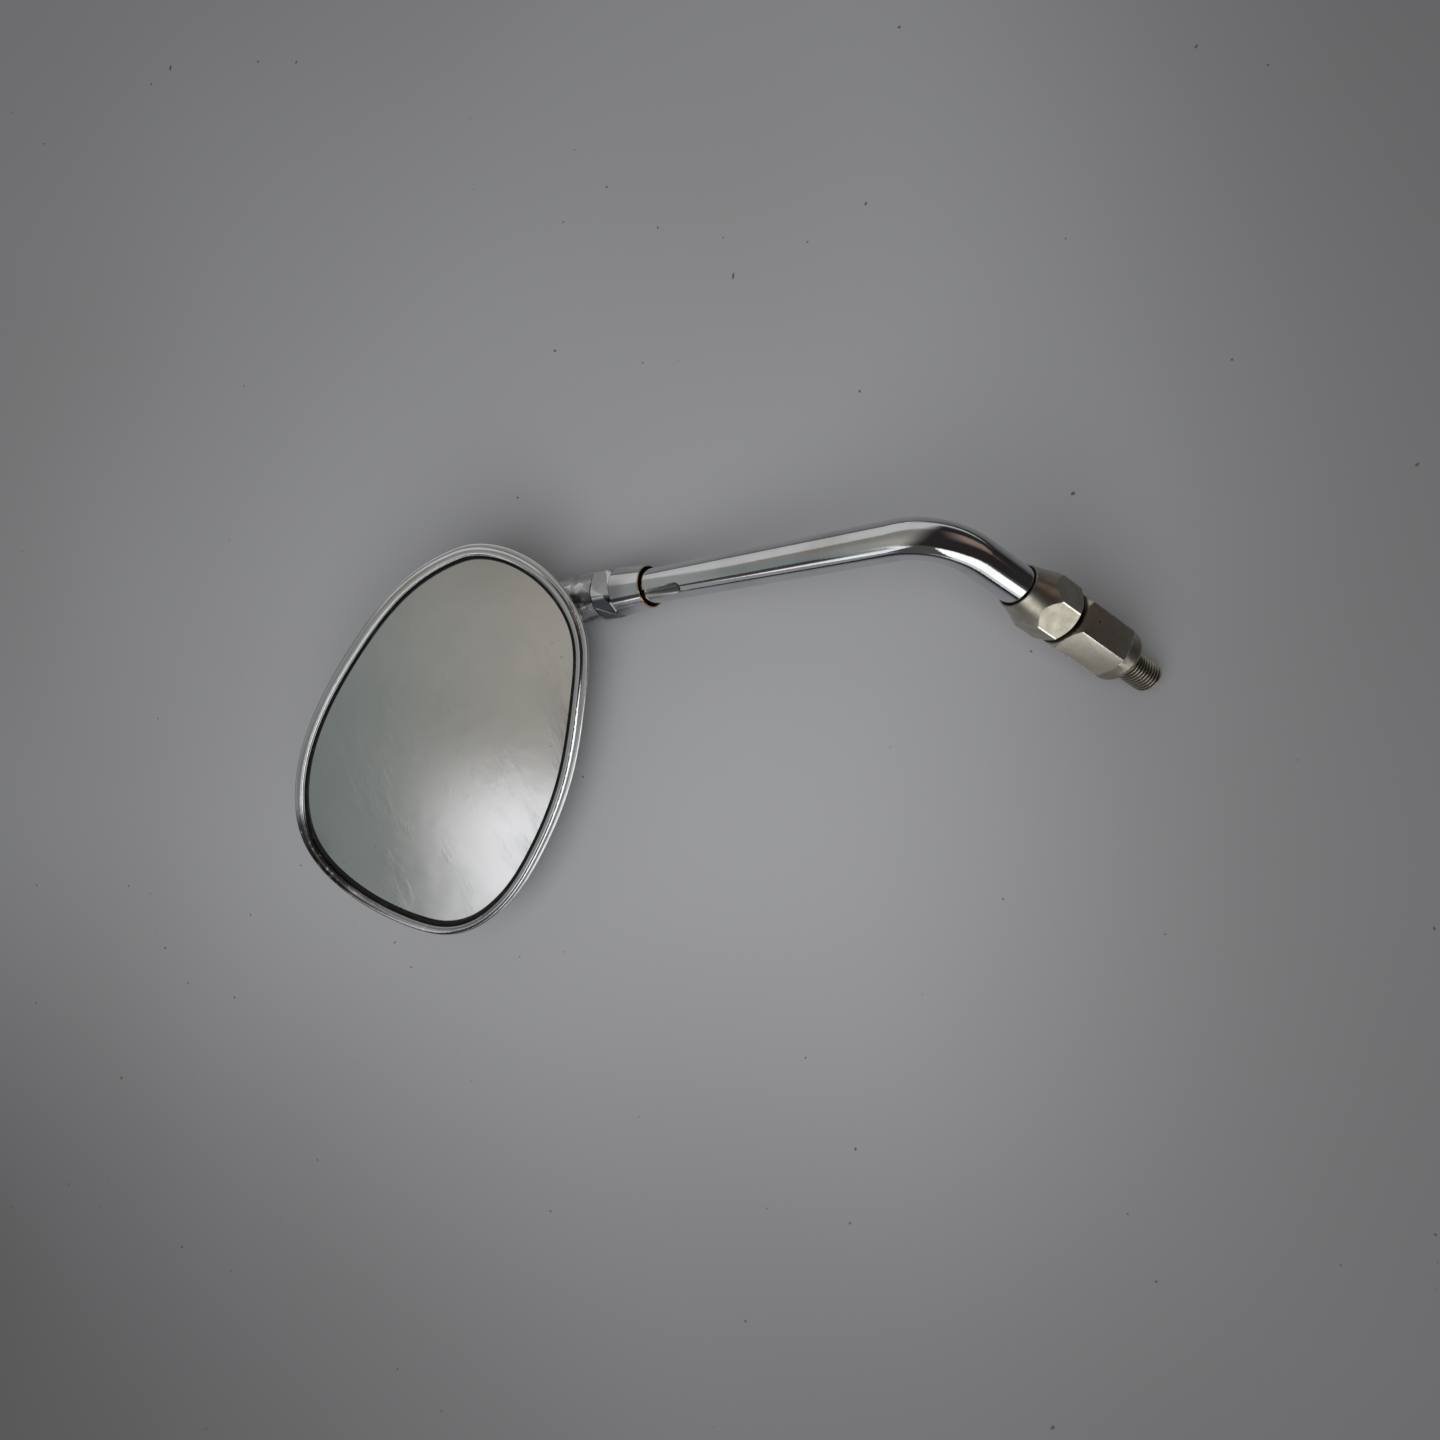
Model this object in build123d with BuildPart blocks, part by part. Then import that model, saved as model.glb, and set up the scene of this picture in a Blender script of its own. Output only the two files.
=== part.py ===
"""Left-hand motorcycle mirror on a bent tube stem with a hexagon adapter and a threaded stud.

Frame: millimetres, +Z up along the stud axis, origin where the stud's thread meets its neck.
The stud hangs below the origin, the glass faces -Y and the stem leans forward and to the left.
"""
import os
from math import asin, cos, radians, sin, tan

from build123d import *

os.makedirs("parts", exist_ok=True)

# Threads and hexagons
thread_radius = 5.0
thread_clearance = 0.05
spanner_size = 17.0
hex_corner_radius = 9.85
seat_gap = 0.1

# Adapter, heights above the origin
stud_length = 12.4
stud_chamfer = 0.9
stud_neck_radius = 4.5
stud_neck_height = 1.5
collar_radius = 8.5
collar_height = 7.1
collar_round = 2.8
neck_fillet = 0.8
adapter_hex_height = 20.7
adapter_hex_turn = 44.4
adapter_top_chamfer = 1.9
adapter_foot_chamfer = 0.5
adapter_bore_depth = 16.0

# Lock nut on the adapter
lock_nut_height = 18.9
lock_nut_turn = 5.6
lock_nut_hex_height = 8.7
lock_nut_chamfer = 1.5
lock_nut_seat_radius = 7.4
lock_nut_seat_height = 0.9
lock_nut_mouth_radius = 6.9
lock_nut_cone_sag = 0.35
lock_nut_bore_depth = 8.2
dust_ring_height = 1.4
dust_ring_recess = 0.2
dust_ring_section = 0.45
dust_ring_clearance = 0.05

# Stem tube
tube_radius = 6.0
tube_wall = 1.5
tube_end_in_lock_nut = 7.2
lower_straight = 24.1
bend_radius = 21.7
bend_angle = 65.0
arm_length = 97.8
stem_yaw = 32.4
groove_length = 25.6
groove_radius = 2.6
groove_depth = 1.2
groove_tilt = 3.1
groove_turn = -152.6
groove_wall = 1.35

# Screw ends in the tube
lower_grip = 16.0
upper_grip = 34.0
screw_end_gap = 1.0

# Lock nut at the head
skirt_length = 12.0
skirt_mouth_radius = 7.35
skirt_root_radius = 8.5
skirt_lip = 0.4
skirt_bore_depth = 10.2
skirt_over_tube = 9.0
head_nut_hex_height = 8.0
head_nut_turn = -137.6
head_nut_shoulder_chamfer = 1.9
head_nut_end_chamfer = 1.1

# Head placement, from the neck's end face to the glass centre, in the head's own axes
glass_tilt = 13.2
face_to_centre_x = 72.7
face_to_centre_y = -23.5
face_behind_rim = 10.2

# Glass, its visible edge in the head's own axes
glass_edge = [
    (58.9, 24.1), (43.3, 33.4), (15.2, 39.2), (-12.7, 39.7),
    (-35.9, 34.2), (-49.8, 24.7), (-58.1, 8.2), (-60.5, -15.9),
    (-56.5, -30.6), (-44.5, -38.6), (-22.2, -41.4), (5.7, -38.5),
    (36.5, -28.4), (55.0, -18.4), (63.9, -4.1), (65.2, 12.1),
]
edge_samples = 40
glass_curvature = 1200.0
glass_thickness = 2.4
glass_recess = 1.1
glass_hidden = 1.0
pad_thickness = 1.2
pad_inset = 0.6

# Rim bezel and gasket, growths outward from the glass's visible edge
gasket_width = 2.0
bezel_lip_start = 0.9
bezel_width = 3.3
bezel_lip = 1.6
bezel_skirt = 1.1
bezel_outer_round = 1.8
bezel_inner_round = 1.3
rim_fit = 0.05

# Shell
seam_depth = 6.0
shell_depth = 31.0
shell_overhang = 1.2
shell_edge_round = 0.5
shell_draft = 8.0
shell_edge_gap = 0.1
ledge_width = 1.6
cavity_draft = 4.0
dome_radius = 220.0
dome_wall = 2.2
shell_back_round = 9.0
cavity_back_round = 6.0
blank_margin = 3.0

# Neck of the shell
neck_radius = 8.5
neck_draft = 1.2
neck_length = 17.0
neck_seat_radius = 7.7
neck_seat_height = 0.5
neck_bore_depth = 16.0
fairing_end_x = 26.0
fairing_end_y = -3.0
fairing_end_depth = 22.0
fairing_end_radius = 5.0

# Derived levels up the stud axis
thread_bore_radius = thread_radius + thread_clearance
collar_top = stud_neck_height + collar_height
adapter_top = collar_top + adapter_hex_height
lock_nut_seat = adapter_top + seat_gap
lock_nut_top = lock_nut_seat + lock_nut_height
tube_bottom = lock_nut_top - tube_end_in_lock_nut
bend_start = tube_bottom + lower_straight
tube_bore_radius = tube_radius - tube_wall

# Stem plane: local x along the arm's heading, local y up
heading = Vector(-sin(radians(stem_yaw)), cos(radians(stem_yaw)), 0)
sideways = Vector(cos(radians(stem_yaw)), sin(radians(stem_yaw)), 0)
stem_plane = Plane(origin=(0, 0, 0), x_dir=heading, z_dir=sideways)

with BuildLine(stem_plane) as stem_path:
    riser = Line((0, tube_bottom), (0, bend_start))
    bend = JernArc(start=riser @ 1, tangent=riser % 1, radius=bend_radius, arc_size=-bend_angle)
    arm = PolarLine(start=bend @ 1, length=arm_length, direction=bend % 1)

arm_start = arm @ 0
arm_direction = arm % 1
arm_axis = Axis(arm_start, arm_direction)
arm_section = Plane(origin=arm_start, x_dir=sideways, z_dir=sideways.cross(arm_direction))


def across_arm(distance):
    """Plane square to the arm at a distance from the bend, its z toward the head."""
    return Plane(origin=arm_start + arm_direction * distance, x_dir=sideways, z_dir=arm_direction)


# Distances along the arm from the bend
skirt_mouth = arm_length - skirt_over_tube
head_nut_shoulder = skirt_mouth + skirt_length
head_nut_end = head_nut_shoulder + head_nut_hex_height
neck_face = head_nut_end + seat_gap
groove_end = arm_length - groove_length

# Head axes: x to the right, y up the glass, z out of the glass
glass_normal = Vector(0, -cos(radians(glass_tilt)), sin(radians(glass_tilt)))
glass_up = Vector(0, sin(radians(glass_tilt)), cos(radians(glass_tilt)))
head_origin = (
    arm_start
    + arm_direction * neck_face
    - Vector(1, 0, 0) * face_to_centre_x
    - glass_up * face_to_centre_y
    + glass_normal * face_behind_rim
)
head_plane = Plane(origin=head_origin, x_dir=(1, 0, 0), z_dir=glass_normal)
edge_curve = Spline(*glass_edge, periodic=True)

# Turn of a sphere about the head's x that puts its poles beside the head
poles_aside = (90, 0, 0)


def behind_rim(depth):
    """Plane parallel to the rim at a depth behind its crest."""
    return head_plane.offset(-depth)


def grown_edge(growth):
    """Points of the glass's visible edge moved outward by a growth."""
    points = []
    for step in range(edge_samples):
        place = edge_curve @ (step / edge_samples)
        run = edge_curve % (step / edge_samples)
        points.append((place.X + growth * run.Y, place.Y - growth * run.X))
    return points


# Adapter: long hexagon, rounded collar and stud in one turned piece
with BuildPart() as adapter:
    with BuildSketch(Plane.XY.offset(collar_top)):
        RegularPolygon(spanner_size / 2, 6, major_radius=False, rotation=adapter_hex_turn - 30)
    extrude(amount=adapter_hex_height)
    with BuildSketch(Plane.XZ):
        with BuildLine():
            Polyline(
                (0, collar_top),
                (hex_corner_radius - adapter_foot_chamfer, collar_top),
                (hex_corner_radius, collar_top + adapter_foot_chamfer),
                (hex_corner_radius, adapter_top - adapter_top_chamfer),
                (hex_corner_radius - adapter_top_chamfer, adapter_top),
                (0, adapter_top),
                close=True,
            )
        make_face()
    revolve(axis=Axis.Z, mode=Mode.INTERSECT)
    with BuildSketch(Plane.XZ):
        with BuildLine():
            Polyline(
                (0, -stud_length),
                (thread_radius - stud_chamfer, -stud_length),
                (thread_radius, stud_chamfer - stud_length),
                (thread_radius, 0),
                (stud_neck_radius, 0),
                (stud_neck_radius, stud_neck_height),
                (collar_radius, stud_neck_height),
                (collar_radius, collar_top),
                (0, collar_top),
                close=True,
            )
        make_face()
    revolve(axis=Axis.Z)
    collar_foot = adapter.edges().filter_by(GeomType.CIRCLE).filter_by_position(
        Axis.Z, stud_neck_height, stud_neck_height
    ).sort_by(SortBy.RADIUS)
    fillet(collar_foot[-1], collar_round)
    stud_root = adapter.edges().filter_by(GeomType.CIRCLE).filter_by_position(
        Axis.Z, stud_neck_height, stud_neck_height
    ).sort_by(SortBy.RADIUS)
    fillet(stud_root[0], neck_fillet)
    with BuildSketch(Plane.XY.offset(adapter_top)):
        Circle(thread_bore_radius)
    extrude(amount=-adapter_bore_depth, mode=Mode.SUBTRACT)
adapter.part.label = "adapter"
export_step(adapter.part, "parts/adapter.step")

# Lock nut: hexagon running up into a hollow cone round the tube
lock_nut_foot = lock_nut_seat + lock_nut_seat_height
cone_foot = lock_nut_foot + lock_nut_hex_height
with BuildPart() as stem_lock_nut:
    with BuildSketch(Plane.XY.offset(lock_nut_foot)):
        RegularPolygon(spanner_size / 2, 6, major_radius=False, rotation=lock_nut_turn - 30)
    extrude(amount=lock_nut_height - lock_nut_seat_height)
    with BuildSketch(Plane.XZ):
        with BuildLine():
            blank = Polyline(
                (0, lock_nut_top),
                (0, lock_nut_foot),
                (hex_corner_radius - lock_nut_chamfer, lock_nut_foot),
                (hex_corner_radius, lock_nut_foot + lock_nut_chamfer),
                (hex_corner_radius, cone_foot),
            )
            cone = SagittaArc(blank @ 1, (lock_nut_mouth_radius, lock_nut_top), lock_nut_cone_sag)
            Line(cone @ 1, blank @ 0)
        make_face()
    revolve(axis=Axis.Z, mode=Mode.INTERSECT)
    with BuildSketch(Plane.XY.offset(lock_nut_seat)):
        Circle(lock_nut_seat_radius)
    extrude(amount=lock_nut_seat_height)
    with BuildSketch(Plane.XY.offset(lock_nut_seat)):
        Circle(thread_bore_radius)
    extrude(amount=lock_nut_height, mode=Mode.SUBTRACT)
    with BuildSketch(Plane.XY.offset(lock_nut_top)):
        Circle(tube_radius + dust_ring_clearance + dust_ring_section)
    extrude(amount=-lock_nut_bore_depth, mode=Mode.SUBTRACT)
stem_lock_nut.part.label = "stem_lock_nut"
export_step(stem_lock_nut.part, "parts/stem_lock_nut.step")

# Dust ring in the mouth of the lock nut
with BuildPart() as dust_ring:
    with BuildSketch(Plane.XY.offset(lock_nut_top - dust_ring_recess)):
        Circle(tube_radius + dust_ring_clearance + dust_ring_section)
        Circle(tube_radius + dust_ring_clearance, mode=Mode.SUBTRACT)
    extrude(amount=-dust_ring_height)
dust_ring.part.label = "dust_ring"
export_step(dust_ring.part, "parts/dust_ring.step")


# Axis of the pressed groove, which is deepest at its round end and runs out under the skirt
groove_reach = tube_radius - groove_depth + groove_radius
groove_across = groove_reach * cos(radians(groove_turn))
groove_along = groove_reach * sin(radians(groove_turn))
groove_spot = across_arm(groove_end + groove_radius).from_local_coords((groove_across, groove_along, 0))
groove_outward = across_arm(groove_end).from_local_coords((groove_across, groove_along, 0))
groove_outward = (groove_outward - across_arm(groove_end).origin).normalized()
groove_run = arm_direction * cos(radians(groove_tilt)) + groove_outward * sin(radians(groove_tilt))
groove_tangent = arm_direction.cross(groove_outward)
groove_axis = Axis(groove_spot, groove_run)
groove_section = Plane(origin=groove_spot, x_dir=groove_tangent, z_dir=groove_tangent.cross(groove_run))

# Round-ended bar that presses the groove into the tube's outside
with BuildPart() as groove_bar:
    with BuildSketch(groove_section):
        with BuildLine():
            tip = RadiusArc((0, -groove_radius), (groove_radius, 0), -groove_radius)
            Polyline(tip @ 1, (groove_radius, groove_length), (0, groove_length), tip @ 0)
        make_face()
    revolve(axis=groove_axis)

# The same bar grown by the tube's wall, which bulges into the bore and keys the rod
key_radius = groove_radius + groove_wall
with BuildPart() as key_bar:
    with BuildSketch(groove_section):
        with BuildLine():
            tip = RadiusArc((0, -key_radius), (key_radius, 0), -key_radius)
            Polyline(tip @ 1, (key_radius, groove_length), (0, groove_length), tip @ 0)
        make_face()
    revolve(axis=groove_axis)

# Bore of the tube with the pressed-in key
with BuildPart() as tube_bore:
    with BuildSketch(Plane.XY.offset(tube_bottom)):
        Circle(tube_bore_radius)
    sweep(path=stem_path.wire())
    add(key_bar.part, mode=Mode.SUBTRACT)

# Stem tube
with BuildPart() as stem_tube:
    with BuildSketch(Plane.XY.offset(tube_bottom)):
        Circle(tube_radius)
    sweep(path=stem_path.wire())
    add(tube_bore.part, mode=Mode.SUBTRACT)
    add(groove_bar.part, mode=Mode.SUBTRACT)
stem_tube.part.label = "stem_tube"
export_step(stem_tube.part, "parts/stem_tube.step")

# Threaded rod from the tube's lower end into the adapter
with BuildPart() as lower_screw_end:
    with BuildSketch(Plane.XY.offset(tube_bottom)):
        Circle(tube_bore_radius)
    extrude(amount=lower_grip)
    with BuildSketch(Plane.XY.offset(tube_bottom)):
        Circle(thread_radius)
    extrude(amount=adapter_top - adapter_bore_depth + screw_end_gap - tube_bottom)
lower_screw_end.part.label = "lower_screw_end"
export_step(lower_screw_end.part, "parts/lower_screw_end.step")

# Threaded rod from the tube's upper end through the head nut into the neck
with BuildPart() as upper_screw_end:
    with BuildSketch(across_arm(arm_length)):
        Circle(tube_bore_radius)
        with Locations((groove_across, groove_along)):
            Circle(key_radius, mode=Mode.SUBTRACT)
    extrude(amount=-upper_grip)
    with BuildSketch(across_arm(arm_length)):
        Circle(thread_radius)
    extrude(amount=neck_face + neck_bore_depth - screw_end_gap - arm_length)
upper_screw_end.part.label = "upper_screw_end"
export_step(upper_screw_end.part, "parts/upper_screw_end.step")

# Head lock nut: hexagon against the neck, tapered skirt over the tube's end
with BuildPart() as head_lock_nut:
    with BuildSketch(across_arm(head_nut_shoulder)):
        RegularPolygon(spanner_size / 2, 6, major_radius=False, rotation=head_nut_turn)
    extrude(amount=head_nut_hex_height)
    with BuildSketch(arm_section):
        with BuildLine():
            Polyline(
                (0, head_nut_shoulder),
                (hex_corner_radius - head_nut_shoulder_chamfer, head_nut_shoulder),
                (hex_corner_radius, head_nut_shoulder + head_nut_shoulder_chamfer),
                (hex_corner_radius, head_nut_end - head_nut_end_chamfer),
                (hex_corner_radius - head_nut_end_chamfer, head_nut_end),
                (0, head_nut_end),
                close=True,
            )
        make_face()
    revolve(axis=arm_axis, mode=Mode.INTERSECT)
    with BuildSketch(arm_section):
        with BuildLine():
            Polyline(
                (0, skirt_mouth),
                (skirt_mouth_radius, skirt_mouth),
                (skirt_root_radius, head_nut_shoulder),
                (0, head_nut_shoulder),
                close=True,
            )
        make_face()
    revolve(axis=arm_axis)
    with BuildSketch(across_arm(skirt_mouth)):
        Circle(thread_bore_radius)
    extrude(amount=skirt_length + head_nut_hex_height, mode=Mode.SUBTRACT)
    with BuildSketch(across_arm(skirt_mouth)):
        Circle(skirt_mouth_radius - skirt_lip)
    extrude(amount=skirt_bore_depth, mode=Mode.SUBTRACT)
head_lock_nut.part.label = "head_lock_nut"
export_step(head_lock_nut.part, "parts/head_lock_nut.step")

# Convex mirror glass
with BuildPart() as glass:
    with BuildSketch(head_plane):
        with BuildLine():
            Spline(*grown_edge(glass_hidden), periodic=True)
        make_face()
    extrude(amount=-seam_depth)
    with Locations(behind_rim(glass_recess + glass_curvature)):
        Sphere(glass_curvature, rotation=poles_aside, mode=Mode.INTERSECT)
        Sphere(glass_curvature - glass_thickness, rotation=poles_aside, mode=Mode.SUBTRACT)
glass.part.label = "glass"
export_step(glass.part, "parts/glass.step")

# Pad bonded to the back of the glass
with BuildPart() as backing_pad:
    with BuildSketch(behind_rim(glass_recess)):
        with BuildLine():
            Spline(*grown_edge(-pad_inset), periodic=True)
        make_face()
    extrude(amount=-seam_depth - pad_thickness)
    with Locations(behind_rim(glass_recess + glass_curvature)):
        Sphere(glass_curvature - glass_thickness, rotation=poles_aside, mode=Mode.INTERSECT)
        Sphere(glass_curvature - glass_thickness - pad_thickness, rotation=poles_aside, mode=Mode.SUBTRACT)
backing_pad.part.label = "backing_pad"
export_step(backing_pad.part, "parts/backing_pad.step")

# Rubber channel round the glass
with BuildPart() as glass_gasket:
    with BuildSketch(behind_rim(bezel_lip)):
        with BuildLine():
            Spline(*grown_edge(gasket_width), periodic=True)
        make_face()
    extrude(amount=bezel_lip - seam_depth)
    with BuildSketch(behind_rim(bezel_lip)):
        with BuildLine():
            Spline(*grown_edge(0), periodic=True)
        make_face()
    extrude(amount=bezel_lip - seam_depth, mode=Mode.SUBTRACT)
    add(glass.part, mode=Mode.SUBTRACT)
glass_gasket.part.label = "glass_gasket"
export_step(glass_gasket.part, "parts/glass_gasket.step")

# Rim bezel: rounded bead with a lip over the gasket and a skirt over the shell's edge
bezel_outer = bezel_lip_start + bezel_width
bezel_inner_wall = bezel_outer - bezel_skirt
with BuildPart() as rim_bezel:
    with BuildSketch(head_plane):
        with BuildLine():
            Spline(*grown_edge(bezel_outer), periodic=True)
        make_face()
    extrude(amount=-seam_depth)
    with BuildSketch(head_plane):
        with BuildLine():
            Spline(*grown_edge(bezel_lip_start), periodic=True)
        make_face()
    extrude(amount=-bezel_lip, mode=Mode.SUBTRACT)
    with BuildSketch(behind_rim(bezel_lip)):
        with BuildLine():
            Spline(*grown_edge(bezel_inner_wall), periodic=True)
        make_face()
    extrude(amount=bezel_lip - seam_depth, mode=Mode.SUBTRACT)
    crest = rim_bezel.edges().group_by(Axis(head_plane.origin, glass_normal))[-1].sort_by(SortBy.LENGTH)
    fillet(crest[-1], bezel_outer_round)
    crest = rim_bezel.edges().group_by(Axis(head_plane.origin, glass_normal))[-1].sort_by(SortBy.LENGTH)
    fillet(crest[0], bezel_inner_round)
rim_bezel.part.label = "rim_bezel"
export_step(rim_bezel.part, "parts/rim_bezel.step")

# Hollow of the shell
cavity_mouth = gasket_width - ledge_width
blank_depth = shell_depth + blank_margin
cavity_taper = (blank_depth - seam_depth) * tan(radians(cavity_draft))
with BuildPart() as cavity:
    with BuildSketch(behind_rim(seam_depth)):
        with BuildLine():
            Spline(*grown_edge(cavity_mouth), periodic=True)
        make_face()
    with BuildSketch(behind_rim(blank_depth)):
        with BuildLine():
            Spline(*grown_edge(cavity_mouth - cavity_taper), periodic=True)
        make_face()
    loft(ruled=True)
    with Locations(behind_rim(shell_depth - dome_radius)):
        Sphere(dome_radius - dome_wall, rotation=poles_aside, mode=Mode.INTERSECT)
    floor = cavity.faces().sort_by(Axis(head_plane.origin, glass_normal))[0]
    fillet(floor.edges(), cavity_back_round)

# Fairing from the neck's root along the inside of the shell's back
neck_cone_length = neck_length - neck_seat_height
neck_root_radius = neck_radius + neck_cone_length * tan(radians(neck_draft))
neck_root = arm_start + arm_direction * (neck_face + neck_length)
fairing_end = head_plane.from_local_coords((fairing_end_x, fairing_end_y, -fairing_end_depth))
fairing_length = (fairing_end - neck_root).length
fairing_run = (fairing_end - neck_root).normalized()
fairing_taper = asin((neck_root_radius - fairing_end_radius) / fairing_length)
fairing_foot = neck_root_radius * sin(fairing_taper)

# Die-cast shell with its neck
shell_mouth = bezel_outer + shell_overhang
shell_taper = (blank_depth - seam_depth) * tan(radians(shell_draft))
with BuildPart() as mirror_shell:
    with BuildSketch(behind_rim(seam_depth)):
        with BuildLine():
            Spline(*grown_edge(shell_mouth), periodic=True)
        make_face()
    with BuildSketch(behind_rim(blank_depth)):
        with BuildLine():
            Spline(*grown_edge(shell_mouth - shell_taper), periodic=True)
        make_face()
    loft(ruled=True)
    with Locations(behind_rim(shell_depth - dome_radius)):
        Sphere(dome_radius, rotation=poles_aside, mode=Mode.INTERSECT)
    back = mirror_shell.faces().sort_by(Axis(head_plane.origin, glass_normal))[0]
    fillet(back.edges(), shell_back_round)
    mouth = mirror_shell.edges().group_by(Axis(head_plane.origin, glass_normal))[-1]
    fillet(mouth, shell_edge_round)
    add(cavity.part, mode=Mode.SUBTRACT)
    with BuildSketch(behind_rim(seam_depth)):
        with BuildLine():
            Spline(*grown_edge(bezel_inner_wall - rim_fit), periodic=True)
        make_face()
    extrude(amount=seam_depth - bezel_lip - shell_edge_gap)
    with BuildSketch(behind_rim(seam_depth)):
        with BuildLine():
            Spline(*grown_edge(gasket_width), periodic=True)
        make_face()
    extrude(amount=seam_depth - bezel_lip - shell_edge_gap, mode=Mode.SUBTRACT)
    with Locations(across_arm(neck_face)):
        Cylinder(neck_seat_radius, neck_length, align=(Align.CENTER, Align.CENTER, Align.MIN))
    with Locations(across_arm(neck_face + neck_seat_height)):
        Cone(neck_radius, neck_root_radius, neck_cone_length, align=(Align.CENTER, Align.CENTER, Align.MIN))
    with Locations(neck_root):
        Sphere(neck_root_radius)
    with Locations(Plane(origin=neck_root + fairing_run * fairing_foot, z_dir=fairing_run)):
        Cone(
            neck_root_radius * cos(fairing_taper),
            fairing_end_radius * cos(fairing_taper),
            fairing_length - fairing_foot + fairing_end_radius * sin(fairing_taper),
            align=(Align.CENTER, Align.CENTER, Align.MIN),
        )
    with Locations(fairing_end):
        Sphere(fairing_end_radius)
    with Locations(across_arm(neck_face)):
        Cylinder(
            thread_bore_radius,
            neck_bore_depth,
            align=(Align.CENTER, Align.CENTER, Align.MIN),
            mode=Mode.SUBTRACT,
        )
mirror_shell.part.label = "mirror_shell"
export_step(mirror_shell.part, "parts/mirror_shell.step")
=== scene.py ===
"""Dresses the motorcycle mirror: finishes, a cut thread on the stud, table, light and camera."""
import logging
import math
from dataclasses import dataclass, field
from enum import Enum
from typing import Any, Dict, Optional, Tuple, Union

import bpy
from mathutils import Matrix, Vector


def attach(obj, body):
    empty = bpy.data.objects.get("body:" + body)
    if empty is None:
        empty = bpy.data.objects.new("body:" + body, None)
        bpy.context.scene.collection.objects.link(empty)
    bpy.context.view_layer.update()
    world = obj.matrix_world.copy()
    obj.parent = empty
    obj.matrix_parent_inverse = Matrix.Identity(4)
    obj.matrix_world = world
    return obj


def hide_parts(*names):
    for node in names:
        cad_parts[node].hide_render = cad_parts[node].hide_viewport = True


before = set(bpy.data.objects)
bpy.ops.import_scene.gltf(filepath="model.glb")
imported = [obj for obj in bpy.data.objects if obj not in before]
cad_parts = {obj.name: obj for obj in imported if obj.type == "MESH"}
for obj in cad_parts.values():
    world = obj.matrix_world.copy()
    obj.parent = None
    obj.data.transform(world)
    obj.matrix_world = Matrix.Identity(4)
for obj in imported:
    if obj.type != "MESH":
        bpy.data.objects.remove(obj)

Colour = Tuple[float, float, float]
Point = Tuple[float, float, float]
LOG = logging.getLogger("mirror")
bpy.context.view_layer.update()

# The photograph's camera: its place and its own axes, in the part's frame in metres.
VIEW_PLACE = Vector((-0.05675, -0.20569, 0.19880))
VIEW_RIGHT = Vector((0.4810, -0.3149, -0.8182))
VIEW_UP = Vector((0.8735, 0.2517, 0.4166))
VIEW_BACK = Vector((0.0748, -0.9151, 0.3961))
# Axes of the straight arm and of the stud.
ARM_START = Vector((-0.006713, 0.010579, 0.084867))
ARM_RUN = Vector((-0.485624, 0.765221, 0.422618))
ORIGIN = Vector((0, 0, 0))
STUD_RUN = Vector((0, 0, 1))
# Side of the arm that lies lowest in the photograph.
LOW_SIDE = -VIEW_UP
# Depth of the marks in the plating.
PLATE_RELIEF = 0.00002
# Share of a spot's reach inside which it is at its full strength.
SPOT_CORE = 0.55
# Sharpest edge that is still shaded smooth.
SMOOTH_LIMIT = math.radians(24)


class Body(Enum):
    """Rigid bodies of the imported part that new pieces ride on."""

    ADAPTER = "adapter"


class Slot(Enum):
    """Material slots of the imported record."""

    SATIN_STEEL = "satin_steel"


class Socket:
    """A shader value that takes part in Python arithmetic by adding Math nodes."""

    def __init__(self, graph: "ShaderGraph", output: bpy.types.NodeSocket) -> None:
        """Wraps one output.

        Args:
            graph: The node tree's helper.
            output: The node output that carries the value.
        """
        self.graph = graph
        self.output = output

    def __add__(self, other: Union["Socket", float]) -> "Socket":
        """Sum of two values."""
        return self.graph.math("ADD", self, other)

    __radd__ = __add__

    def __mul__(self, other: Union["Socket", float]) -> "Socket":
        """Product of two values."""
        return self.graph.math("MULTIPLY", self, other)

    __rmul__ = __mul__

    def __sub__(self, other: Union["Socket", float]) -> "Socket":
        """Difference of two values."""
        return self.graph.math("SUBTRACT", self, other)

    def __rsub__(self, other: float) -> "Socket":
        """A number less this value."""
        return self.graph.math("SUBTRACT", other, self)

    def __abs__(self) -> "Socket":
        """Size of the value without its sign."""
        return self.graph.math("ABSOLUTE", self)

    def rises(self, low: float, high: float) -> "Socket":
        """Smooth step from 0 at low to 1 at high; low above high makes it fall.

        Args:
            low: Value that gives 0.
            high: Value that gives 1.

        Returns:
            The eased mask.
        """
        start, end = (low, high) if low < high else (high, low)
        node = self.graph.node(
            "ShaderNodeMapRange",
            {"interpolation_type": "SMOOTHSTEP"},
            {"Value": self, "From Min": start, "From Max": end},
        )
        eased = Socket(self.graph, node.outputs["Result"])
        return eased if low < high else 1.0 - eased


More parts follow.
